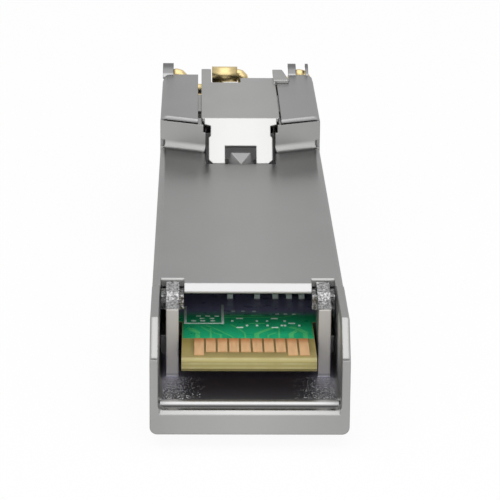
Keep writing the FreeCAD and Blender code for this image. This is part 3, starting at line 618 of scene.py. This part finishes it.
def edge_pad_gold(name):
    """Thin gold over copper, brushed along the pads and redder where the mask begins."""
    finish, tree, shader = new_finish(name)
    place = place_on_part(tree)
    stretch = add_node(tree, "ShaderNodeMapping", {"Scale": STROKE_STRETCH})
    join_sockets(tree, place, stretch.inputs["Vector"])
    strokes = noise(tree, stretch.outputs["Vector"], **GOLD_STROKES)
    gold = blend_colours(tree, strokes, *GOLD_TINTS)
    far_end = rising(tree, axis_of(tree, place, ALONG), *PADS_REDDEN)
    tint = blend_colours(tree, far_end, gold, COPPER_RED)
    roughness = spread(tree, strokes, *GOLD_ROUGHNESS)
    join_looks(tree, shader, tint, roughness, raise_grain(tree, strokes, **GOLD_RELIEF), GOLD_METALLIC)
    return finish


# Board, print and plastic finishes.


def moulded_plastic(name, tint, roughness, areas=()):
    """Moulded or epoxy material with a fine matt texture, and the painted shade of its areas if given."""
    finish, tree, shader = new_finish(name)
    place = place_on_part(tree)
    clouds = noise(tree, place, **PLASTIC_CLOUDS)
    fine = noise(tree, place, **PLASTIC_GRAIN)
    clouded = blend_colours(tree, clouds, tint, scaled(tint, PLASTIC_LIGHT))
    relief = raise_grain(tree, fine, **PLASTIC_RELIEF, normal=soft_edges(tree, PLASTIC_RIM))
    mottled = uneven(tree, fine, roughness, PLASTIC_MOTTLE)
    join_looks(tree, shader, paint_light_and_shade(tree, place, clouded, areas), mottled, relief)
    return finish


RESIN_TINTS = (colour(0.250, 0.190, 0.049), colour(0.320, 0.255, 0.078))
RESIN_BETWEEN_PADS = colour(0.085, 0.052, 0.014)
LAYER_TINTS = (colour(0.345, 0.290, 0.094), colour(0.475, 0.425, 0.205))
DARK_EDGE = colour(0.035, 0.045, 0.022)


def cut_edge_tint(tree, place, clouds):
    """Pale glass layers along the front edge of the board; its other edges are dark with resin."""
    layers = combine(tree, "SINE", product(tree, axis_of(tree, place, UP), LAYER_WAVE), 0.0)
    lines = spread(tree, layers, 0.0, 1.0, -1.0, 1.0)
    ragged = product(tree, lines, spread(tree, clouds, *LAYER_SHARE))
    front = falling(tree, axis_of(tree, place, ALONG), *PALE_EDGE_ENDS)
    return blend_colours(tree, front, DARK_EDGE, blend_colours(tree, ragged, *LAYER_TINTS))


def board_laminate(name):
    """Bare glass laminate: clouded resin on the faces and visible layers along the cut edges."""
    finish, tree, shader = new_finish(name)
    place = place_on_part(tree)
    clouds = noise(tree, place, **RESIN_CLOUDS)
    resin = blend_colours(tree, clouds, *RESIN_TINTS)
    # Darker resin between the pads.
    face = blend_colours(tree, among_pads(tree, place), resin, RESIN_BETWEEN_PADS)
    below_face = falling(tree, axis_of(tree, place, UP), *BOARD_RIM)
    tint = blend_colours(tree, below_face, face, cut_edge_tint(tree, place, clouds))
    roughness = spread(tree, clouds, *BOARD_ROUGHNESS)
    join_looks(tree, shader, tint, roughness, raise_grain(tree, clouds, **BOARD_RELIEF))
    return finish


def lacquer(name, tints, roughness, inner=None):
    """Solder mask or printed ink: a thin, slightly uneven coat, with a painted reflection under the cover if
    given.
    """
    finish, tree, shader = new_finish(name)
    place = place_on_part(tree)
    flow = noise(tree, place, **COAT_FLOW)
    coat = blend_colours(tree, spread(tree, flow, 0.0, 1.0), *tints)
    if inner:
        # Painted reflection: the coat turns violet under the cover.
        coat = blend_colours(tree, rising(tree, axis_of(tree, place, ALONG), *MASK_REFLECTION_GROWS), coat, inner)
    relief = raise_grain(tree, flow, **COAT_RELIEF)
    join_looks(tree, shader, coat, uneven(tree, flow, roughness, COAT_MOTTLE), relief)
    return finish


# Areas of painted light and shade, and the finish of every slot in the record.
CAST_LIGHT_AND_SHADE = (
    # Painted shade on the floor of the hollow, and painted light on it towards the posts.
    (hollow_floor, colour(0.12, 0.12, 0.135)),
    (hollow_back, colour(0.56, 0.54, 0.68)),
    # Painted light on the front faces of the posts.
    (post_fronts, colour(0.53, 0.51, 0.485)),
    # Painted light on the inside of the side walls.
    (inner_walls, grey(0.90)),
    # Painted highlight on the rear edge of the cover.
    (cover_edge, grey(0.43)),
    # Painted shade at the foot of the risers.
    (riser_foot_shade, grey(0.15)),
    # Painted light inside the latch pocket.
    (latch_pocket, grey(0.46)),
    # Painted light on the ramp of the boss.
    (boss_ramp, grey(0.42)),
)
# Painted shade on the guide ears of the shield.
SHEET_SHADE = ((curled_ears, grey(0.18)),)
# Painted shade at the foot of the chip capacitors.
CAPACITOR_SHADE = ((part_foot_shade, colour(0.10, 0.09, 0.13)),)
FINISHES = {
    "cast_metal": satin_metal("cast_metal", tone=0.345, smooth=0.22, rough=0.46, areas=CAST_LIGHT_AND_SHADE),
    "sheet_metal": satin_metal(
        "sheet_metal", tone=0.335, smooth=0.32, rough=0.38, warmth=1.0, areas=SHEET_SHADE,
    ),
    "actuator_metal": satin_metal("actuator_metal", tone=0.39, smooth=0.34, rough=0.38),
    "bail_wire": bright_metal("bail_wire", colour(0.64, 0.51, 0.26), roughness=0.34),
    "jack_plastic": moulded_plastic("jack_plastic", colour(0.026, 0.026, 0.028), roughness=0.5),
    "board": board_laminate("board"),
    "pad_gold": edge_pad_gold("pad_gold"),
    "contact_gold": bright_metal("contact_gold", colour(0.80, 0.60, 0.28), roughness=0.25),
    "chip": moulded_plastic("chip", colour(0.022, 0.022, 0.024), roughness=0.55),
    "magnetics": moulded_plastic("magnetics", colour(0.028, 0.028, 0.030), roughness=0.5),
    "ferrite": moulded_plastic("ferrite", colour(0.075, 0.075, 0.080), roughness=0.6),
    "crystal_can": satin_metal("crystal_can", tone=0.55, smooth=0.28, rough=0.34),
    "chip_capacitor": moulded_plastic("chip_capacitor", colour(0.74, 0.84, 0.78), 0.5, CAPACITOR_SHADE),
}

# Finishes of the pieces that only this script makes.
WORN_BEAD = worn_bead("worn_bead", crest=0.45, foot=0.12, roughness=0.32)
ROUGH_CAST = rough_metal("rough_cast", dark=0.21, light=0.46)
PEENED_METAL = rough_metal("peened_metal", dark=0.07, light=0.44)
MASK_TINTS = (colour(0.012, 0.340, 0.145), colour(0.016, 0.410, 0.180))
# Violet painted reflection on the mask under the cover.
MASK_REFLECTION = colour(0.34, 0.32, 0.56)
TRACE_TINTS = (colour(0.055, 0.450, 0.160), colour(0.095, 0.520, 0.180))
LEGEND_TINTS = (colour(0.76, 0.88, 0.83), colour(0.92, 0.96, 0.94))
MASK_GREEN = lacquer("mask_green", MASK_TINTS, roughness=0.30, inner=MASK_REFLECTION)
MASK_OVER_COPPER = lacquer("mask_over_copper", TRACE_TINTS, roughness=0.30)
LEGEND_WHITE = lacquer("legend_white", LEGEND_TINTS, roughness=0.45)


def dress_solids():
    """Gives every solid the finish of its slot in the record."""
    for entry in frame["record"]["subparts"]:
        mesh = nodes[entry["node"]].data
        mesh.materials.clear()
        mesh.materials.append(FINISHES[entry["material_slot"]])


# Mesh helpers. Points are in millimetres.


def new_object(name, data):
    made = bpy.data.objects.new(name, data)
    bpy.context.scene.collection.objects.link(made)
    return made


def mesh_from(name, work):
    bmesh.ops.recalc_face_normals(work, faces=work.faces)
    mesh = bpy.data.meshes.new(name)
    work.to_mesh(mesh)
    work.free()
    return mesh


def smooth_mesh(mesh, crease):
    """Smooth shading, kept sharp where faces meet at more than that many degrees."""
    mesh.polygons.foreach_set("use_smooth", [True] * len(mesh.polygons))
    mesh.set_sharp_from_angle(angle=math.radians(crease))
    return mesh


def add_ring(work, points):
    return [work.verts.new(Vector(point) * MM) for point in points]


def close_rings(work, rings):
    """A closed skin through rings with the same number of points."""
    for ring, following in zip(rings, rings[1:]):
        for i in range(len(ring)):
            work.faces.new((ring[i - 1], ring[i], following[i], following[i - 1]))
    work.faces.new(rings[0])
    work.faces.new(rings[-1])


def add_slab(work, outline, low, high):
    """A flat slab with straight sides, from an outline of (x, y)."""
    close_rings(work, [add_ring(work, [(x, y, z) for x, y in outline]) for z in (low, high)])


def add_bar(work, profile, left, right, slices=1):
    """A bar along x, from a profile of (y, z)."""
    steps = [left + (right - left) * i / slices for i in range(slices + 1)]
    close_rings(work, [add_ring(work, [(x, y, z) for y, z in profile]) for x in steps])


def strip_outline(points, width):
    """The outline of a line of that width with mitred corners."""
    spots = [Vector(point) for point in points]
    ways = [(after - before).normalized() for before, after in zip(spots, spots[1:])]
    left = []
    right = []
    for i, spot in enumerate(spots):
        before = ways[max(i - 1, 0)]
        after = ways[min(i, len(ways) - 1)]
        middle = (before + after).normalized()
        side = Vector((-middle.y, middle.x)) * (width / 2 / max(middle.dot(after), MITRE_LIMIT))
        left.append(tuple(spot + side))
        right.append(tuple(spot - side))
    return left + right[::-1]


def finish_piece(name, mesh, body, finish):
    """Puts a finished mesh in the scene as a piece that rides on a body."""
    piece = new_object(name, mesh)
    mesh.materials.clear()
    mesh.materials.append(finish)
    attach(piece, body)
    return piece


# Geometry trees.


def new_tree(name, sizes):
    """A geometry tree with one named input for each size."""
    tree = bpy.data.node_groups.new(name, "GeometryNodeTree")
    tree.interface.new_socket("Geometry", in_out="INPUT", socket_type="NodeSocketGeometry")
    tree.interface.new_socket("Geometry", in_out="OUTPUT", socket_type="NodeSocketGeometry")
    for size in sizes:
        tree.interface.new_socket(size, in_out="INPUT", socket_type="NodeSocketFloat")
    return tree, add_node(tree, "NodeGroupInput").outputs, add_node(tree, "NodeGroupOutput").inputs


def end_tree(tree, geometry, finish, tree_out):
    real = add_node(tree, "GeometryNodeRealizeInstances")
    join_sockets(tree, geometry, real.inputs["Geometry"])
    paint = add_node(tree, "GeometryNodeSetMaterial", {"Material": finish})
    join_sockets(tree, real.outputs["Geometry"], paint.inputs["Geometry"])
    join_sockets(tree, paint.outputs["Geometry"], tree_out["Geometry"])


def grow(name, base_mesh, tree, sizes):
    """Runs a geometry tree on a mesh and gives the result as a plain mesh."""
    carrier = new_object(name + "_base", base_mesh)
    modifier = carrier.modifiers.new("grow", "NODES")
    modifier.node_group = tree
    for item in tree.interface.items_tree:
        if item.in_out == "INPUT" and item.name in sizes:
            modifier[item.identifier] = sizes[item.name]
    evaluated = carrier.evaluated_get(bpy.context.evaluated_depsgraph_get())
    grown = bpy.data.meshes.new_from_object(evaluated)
    grown.name = name
    bpy.data.objects.remove(carrier)
    return grown


def printed_tick_tree():
    """A short printed tick on every point."""
    sides = ("Tick width", "Tick length", "Print height")
    tree, tree_in, tree_out = new_tree("printed_ticks", sides)
    size = add_node(tree, "ShaderNodeCombineXYZ")
    for axis, side in enumerate(sides):
        join_sockets(tree, tree_in[side], size.inputs[axis])
    block = add_node(tree, "GeometryNodeMeshCube")
    join_sockets(tree, size.outputs[0], block.inputs["Size"])
    place = add_node(tree, "GeometryNodeInstanceOnPoints")
    join_sockets(tree, tree_in["Geometry"], place.inputs["Points"])
    join_sockets(tree, block.outputs["Mesh"], place.inputs["Instance"])
    end_tree(tree, place.outputs["Instances"], LEGEND_WHITE, tree_out)
    return tree


def random_vector(tree, low, high, seed):
    """A vector drawn anew for each point, between two limits."""
    limits = {0: low, 1: high, "Seed": seed}
    return add_node(tree, "FunctionNodeRandomValue", limits, data_type="FLOAT_VECTOR").outputs[0]


def cast_grain_tree():
    """Small cast lumps strewn over faces, crowded where the faces' own value says so."""
    tree, tree_in, tree_out = new_tree("cast_grains", ("Grains per area", "Grain radius"))
    crowd = add_node(tree, "GeometryNodeInputNamedAttribute", {"Name": "crowd"}, data_type="FLOAT")
    density = combine(tree, "MULTIPLY", crowd.outputs["Attribute"], tree_in["Grains per area"])
    strew = add_node(tree, "GeometryNodeDistributePointsOnFaces", {"Seed": GRAIN_SEED})
    join_sockets(tree, tree_in["Geometry"], strew.inputs["Mesh"])
    join_sockets(tree, density, strew.inputs["Density"])
    lump = add_node(tree, "GeometryNodeMeshIcoSphere", {"Subdivisions": GRAIN_LEVEL})
    join_sockets(tree, tree_in["Grain radius"], lump.inputs["Radius"])
    place = add_node(tree, "GeometryNodeInstanceOnPoints")
    join_sockets(tree, strew.outputs["Points"], place.inputs["Points"])
    join_sockets(tree, lump.outputs["Mesh"], place.inputs["Instance"])
    join_sockets(tree, random_vector(tree, **GRAIN_SCALES), place.inputs["Scale"])
    join_sockets(tree, random_vector(tree, **GRAIN_TURNS), place.inputs["Rotation"])
    end_tree(tree, place.outputs["Instances"], ROUGH_CAST, tree_out)
    return tree


def peened_tree():
    """A form divided finely and pushed in and out by noise, as a peening tool leaves it."""
    tree, tree_in, tree_out = new_tree("peened", ("Dent depth", "Dents per metre"))
    divide = add_node(tree, "GeometryNodeSubdivideMesh", {"Level": PEEN_LEVEL})
    join_sockets(tree, tree_in["Geometry"], divide.inputs["Mesh"])
    dents = add_node(tree, "ShaderNodeTexNoise", {"Detail": DENT_DETAIL})
    join_sockets(tree, tree_in["Dents per metre"], dents.inputs["Scale"])
    join_sockets(tree, add_node(tree, "GeometryNodeInputPosition").outputs[0], dents.inputs["Vector"])
    centred = combine(tree, "SUBTRACT", dents.outputs[0], 0.5)
    push = add_node(tree, "ShaderNodeVectorMath", operation="SCALE")
    join_sockets(tree, add_node(tree, "GeometryNodeInputNormal").outputs[0], push.inputs[0])
    join_sockets(tree, combine(tree, "MULTIPLY", centred, tree_in["Dent depth"]), push.inputs["Scale"])
    move = add_node(tree, "GeometryNodeSetPosition")
    join_sockets(tree, divide.outputs["Mesh"], move.inputs["Geometry"])
    join_sockets(tree, push.outputs[0], move.inputs["Offset"])
    end_tree(tree, move.outputs["Geometry"], PEENED_METAL, tree_out)
    return tree


# Board print.


def solder_mask():
    side = BOARD_HALF - MASK_MARGIN
    far = BOARD_FAR - MASK_MARGIN
    half = [(TONGUE_HALF, MASK_EDGE), (TONGUE_HALF, SHOULDER_AT), (side, SHOULDER_AT), (side, far)]
    outline = half + [(-x, y) for x, y in half[::-1]]
    work = bmesh.new()
    add_slab(work, outline, BOARD_TOP, BOARD_TOP + MASK_THICK)
    finish_piece("solder_mask", mesh_from("solder_mask", work), "module", MASK_GREEN)


def masked_traces():
    """Copper under the mask, each trace a little higher than the last so that none share a face."""
    traces = [(line, TRACE_THIN) for line in THIN_TRACES] + [(line, TRACE_WIDE) for line in WIDE_TRACES]
    work = bmesh.new()
    for i, (line, width) in enumerate(traces):
        top = BOARD_TOP + MASK_THICK + TRACE_SWELL * (1 + i / len(traces))
        add_slab(work, strip_outline(line, width), BOARD_TOP, top)
    finish_piece("masked_traces", mesh_from("masked_traces", work), "module", MASK_OVER_COPPER)


def legend_lines():
    lines = [(LEGEND_FRAME, FRAME_LINE)]
    for rows, length in ((BAR_ROWS, BAR_LONG), (DASH_ROWS, DASH_LONG), (MARK_ROWS, MARK_LONG)):
        for y, centres in rows.items():
            lines += [([(x - length / 2, y), (x + length / 2, y)], BAR_LINE) for x in centres]
    work = bmesh.new()
    for line, width in lines:
        add_slab(work, strip_outline(line, width), BOARD_TOP, BOARD_TOP + LEGEND_THICK)
    finish_piece("legend_lines", mesh_from("legend_lines", work), "module", LEGEND_WHITE)


def legend_ticks():
    height = BOARD_TOP + LEGEND_THICK / 2
    spots = bpy.data.meshes.new("legend_tick_spots")
    places = [Vector((x, y, height)) * MM for y, across in TICK_ROWS.items() for x in across]
    spots.from_pydata(places, [], [])
    width, length = TICK_SIZE
    sizes = {"Tick width": width * MM, "Tick length": length * MM, "Print height": LEGEND_THICK * MM}
    mesh = grow("legend_ticks", spots, printed_tick_tree(), sizes)
    finish_piece("legend_ticks", mesh, "module", LEGEND_WHITE)


# Cast detail.


def lip_bead():
    """A rounded bead over the step behind the lip, a little squarer than a quarter of an ellipse."""
    profile = [(BEAD_FAR, BEAD_LOW)]
    for i in range(BEAD_STEPS + 1):
        turn = math.pi / 2 * i / BEAD_STEPS
        out = BEAD_LONG * math.sin(turn) ** BEAD_FULLNESS
        rise = BEAD_TALL * max(math.cos(turn), 0.0) ** BEAD_FULLNESS
        profile.append((BEAD_FAR - out, BEAD_LOW + rise))
    work = bmesh.new()
    add_bar(work, profile, -BEAD_HALF, BEAD_HALF)
    mesh = smooth_mesh(mesh_from("lip_bead", work), BEAD_CREASE)
    finish_piece("lip_bead", mesh, "module", WORN_BEAD)


def grain_patches():
    """Floor patches with a crowding value on each: dense by the side walls, none in the middle."""
    points = []
    crowding = []
    for outer, inner, amount in GRAIN_BANDS:
        for side in (1, -1):
            corners = ((inner, FLOOR_NEAR), (outer, FLOOR_NEAR), (outer, FLOOR_FAR), (inner, FLOOR_FAR))
            points += [Vector((side * x, y, FLOOR_HIGH)) * MM for x, y in corners[::side]]
            crowding.append(amount)
    mesh = bpy.data.meshes.new("grain_patches")
    mesh.from_pydata(points, [], [tuple(range(4 * i, 4 * i + 4)) for i in range(len(crowding))])
    mesh.attributes.new("crowd", "FLOAT", "FACE").data.foreach_set("value", crowding)
    return mesh


def cast_grains():
    sizes = {"Grains per area": GRAINS_PER_AREA, "Grain radius": GRAIN_RADIUS * MM}
    mesh = grow("cast_grains", grain_patches(), cast_grain_tree(), sizes)
    finish_piece("cast_grains", mesh, "module", ROUGH_CAST)


def divide_long_edges(work, longest):
    """Halves edges, again and again, until none is longer."""
    long_edges = [edge for edge in work.edges if edge.calc_length() > longest]
    while long_edges:
        bmesh.ops.subdivide_edges(work, edges=long_edges, cuts=1, use_grid_fill=True)
        long_edges = [edge for edge in work.edges if edge.calc_length() > longest]


def post_crowns():
    """Peened metal on top of the posts and squeezed into the notches of the cover."""
    work = bmesh.new()
    for side in (1, -1):
        for shape, (inner, outer) in ((CROWN, POST_SIDES), (COLLAR, NOTCH_SIDES)):
            profile = [(COVER_REAR + y, HOUSING_TOP + z) for y, z in shape]
            add_bar(work, profile, side * inner, side * outer, PEEN_SLICES)
    bmesh.ops.triangulate(work, faces=work.faces)
    divide_long_edges(work, PEEN_EDGE * MM)
    sizes = {"Dent depth": DENT_DEPTH * MM, "Dents per metre": DENTS_PER_METRE}
    mesh = grow("post_crowns", mesh_from("post_crowns_block", work), peened_tree(), sizes)
    finish_piece("post_crowns", mesh, "module", PEENED_METAL)


# Smooth copy of the bail, so that its bends read as drawn wire.


def drawn_bail():
    work = bmesh.new()
    work.from_mesh(nodes["bail"].data)
    bmesh.ops.remove_doubles(work, verts=work.verts, dist=BAIL_WELD * MM)
    mesh = smooth_mesh(mesh_from("drawn_bail", work), BAIL_CREASE)
    wire = finish_piece("drawn_bail", mesh, "bail_lever", FINISHES["bail_wire"])
    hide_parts("bail")


# Studio and camera.


def seen_directly(tree):
    """1 for rays that show the background itself: from the camera, in metal and through glass."""
    path = add_node(tree, "ShaderNodeLightPath")
    straight = combine(tree, "ADD", path.outputs["Is Camera Ray"], path.outputs["Is Glossy Ray"])
    total = combine(tree, "ADD", straight, path.outputs["Is Transmission Ray"])
    return combine(tree, "MINIMUM", total, 1.0)


def mix_shaders(tree, amount, first, second):
    node = add_node(tree, "ShaderNodeMixShader")
    for socket, value in zip(node.inputs, (amount, first, second)):
        join_sockets(tree, value, socket)
    return node.outputs[0]


def floor_paint():
    """A pale floor that shows as white from above, with a part left to the light so that shadows stay."""
    paint, tree, shader = new_finish("floor_paint")
    shader.inputs["Base Color"].default_value = grey(FLOOR_PALE)
    shader.inputs["Roughness"].default_value = FLOOR_MATT
    glow = add_node(tree, "ShaderNodeEmission", {"Color": grey(1.0), "Strength": 1.0}).outputs[0]
    share = combine(tree, "MULTIPLY", seen_directly(tree), FLOOR_GLOW)
    top = mix_shaders(tree, share, shader.outputs["BSDF"], glow)
    underneath = add_node(tree, "ShaderNodeNewGeometry").outputs["Backfacing"]
    clear = add_node(tree, "ShaderNodeBsdfTransparent").outputs[0]
    surface = mix_shaders(tree, underneath, top, clear)
    join_sockets(tree, surface, tree.nodes["Material Output"].inputs["Surface"])
    return paint


def studio_floor():
    half = FLOOR_SIDE * MM / 2
    corners = [(-half, -half), (half, -half), (half, half), (-half, half)]
    mesh = bpy.data.meshes.new("studio_floor")
    mesh.from_pydata([(x, y, -FLOOR_DROP * MM) for x, y in corners], [], [(0, 1, 2, 3)])
    mesh.materials.append(floor_paint())
    new_object("studio_floor", mesh)


def studio_room():
    """White to the eye, and a gentle fill for everything else."""
    world = bpy.data.worlds.new("studio_room")
    bpy.context.scene.world = world
    world.use_nodes = True
    tree = world.node_tree
    back = tree.nodes["Background"]
    join_sockets(tree, spread(tree, seen_directly(tree), ROOM_FILL, 1.0, 0.0, 1.0), back.inputs["Strength"])
    back.inputs["Color"].default_value = grey(1.0)


def softbox(name, rise, away, wide, tall, radiance):
    """A soft light above or in front of the part, facing it."""
    light = bpy.data.lights.new(name, "AREA")
    light.shape = "RECTANGLE"
    light.size = wide
    light.size_y = tall
    light.energy = radiance * math.pi * wide * tall
    lamp = new_object(name, light)
    out = Vector((0.0, -math.cos(rise), math.sin(rise)))
    lamp.matrix_world = Matrix.Translation(out * away) @ out.to_track_quat("Z", "Y").to_matrix().to_4x4()


def photo_camera():
    ahead = Vector((math.sin(YAW) * math.cos(PITCH), math.cos(YAW) * math.cos(PITCH), -math.sin(PITCH)))
    level = Vector((math.cos(YAW), -math.sin(YAW), 0.0))
    above = level.cross(ahead)
    right = level * math.cos(ROLL) + above * math.sin(ROLL)
    up = above * math.cos(ROLL) - level * math.sin(ROLL)
    data = bpy.data.cameras.new("photo_camera")
    data.sensor_width = SENSOR
    data.lens = FOCAL_PIXELS / IMAGE * SENSOR
    data.shift_x = (IMAGE / 2 - CENTRE_PIXEL[0]) / IMAGE
    data.shift_y = (CENTRE_PIXEL[1] - IMAGE / 2) / IMAGE
    data.clip_start = NEAREST_SEEN * MM
    camera = new_object("photo_camera", data)
    turned = Matrix((right, up, -ahead)).transposed()
    camera.matrix_world = Matrix.Translation(EYE) @ turned.to_4x4()
    bpy.context.scene.camera = camera


dress_solids()
solder_mask()
masked_traces()
legend_lines()
legend_ticks()
lip_bead()
cast_grains()
post_crowns()
drawn_bail()
studio_floor()
studio_room()
softbox("top_box", **TOP_BOX)
softbox("front_box", **FRONT_BOX)
photo_camera()
bpy.context.scene.view_settings.view_transform = "Standard"
